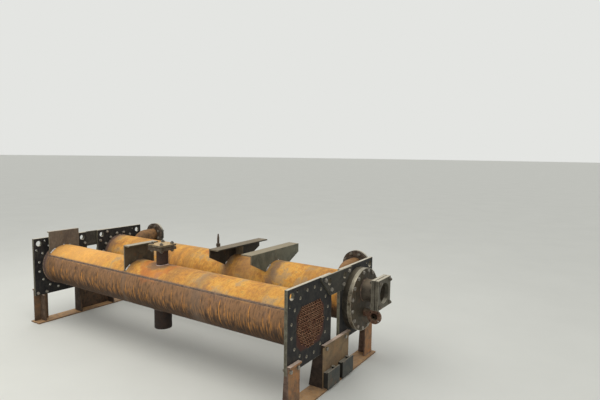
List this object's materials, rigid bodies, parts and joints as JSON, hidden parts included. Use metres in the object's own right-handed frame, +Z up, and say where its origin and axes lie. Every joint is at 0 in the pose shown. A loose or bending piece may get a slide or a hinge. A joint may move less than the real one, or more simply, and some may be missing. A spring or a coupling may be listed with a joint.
{
  "type": "twin shell and tube heat exchanger",
  "caption": "Condenser and evaporator shells of a water chiller, side by side on legs, with drilled tube sheets, tube bundle, brackets and nozzles.",
  "frame": {"origin": "on the floor, under the middle of the whole pair", "axes": "+X along the shells towards the suction nozzle's end, +Y from the condenser to the evaporator, +Z up"},
  "size_m": [3.058, 1.2676, 0.8528],
  "materials": {
    "rusted_shell": "unpainted steel pipe with a coat of orange rust and dark streaks",
    "black_plate": "dark mill scale, drilled",
    "tube_ends": "red-brown rusted tube ends",
    "brown_plate": "brown rusted plate with bare grey edges",
    "grey_plate": "grey-green bare plate with light rust",
    "bolt_steel": "dull zinc with oil and dust"
  },
  "bodies": {
    "root": {"condenser_shell": "rusted_shell", "evaporator_shell": "rusted_shell", "condenser_tube_sheet_left": "black_plate", "condenser_tube_sheet_right": "black_plate", "evaporator_tube_sheet_left": "black_plate", "evaporator_tube_sheet_right": "black_plate", "condenser_tubes": "tube_ends", "tie_plate_left": "grey_plate", "tie_plate_right": "grey_plate", "tie_bolts": "bolt_steel", "leg_left_near": "brown_plate", "leg_left_far": "brown_plate", "leg_right_near": "brown_plate", "leg_right_far": "brown_plate", "leg_left_middle": "brown_plate", "leg_right_middle": "brown_plate", "leg_bolts": "bolt_steel", "base_bar_left": "rusted_shell", "base_bar_right": "rusted_shell", "lug_boxes_right": "black_plate", "condenser_bracket_left": "grey_plate", "condenser_bracket_middle": "grey_plate", "evaporator_bracket_first": "grey_plate", "evaporator_bracket_second": "grey_plate", "gas_inlet_pipe": "rusted_shell", "gas_inlet_flange": "grey_plate", "gas_inlet_cover": "grey_plate", "gas_inlet_bolts": "bolt_steel", "liquid_outlet_stub": "rusted_shell", "evaporator_ring_right": "black_plate", "evaporator_ring_left": "black_plate", "evaporator_head_right": "brown_plate", "evaporator_head_left": "brown_plate", "head_bolts": "bolt_steel", "suction_pipe": "grey_plate", "suction_flange_inner": "grey_plate", "suction_flange_outer": "grey_plate", "suction_bolts": "bolt_steel", "liquid_nozzle": "grey_plate", "water_nozzle_left": "rusted_shell", "water_nozzle_right": "rusted_shell", "water_cover_left": "grey_plate", "water_cover_right": "grey_plate", "water_bolts": "bolt_steel", "safety_valve": "grey_plate"}
  },
  "joints": []
}
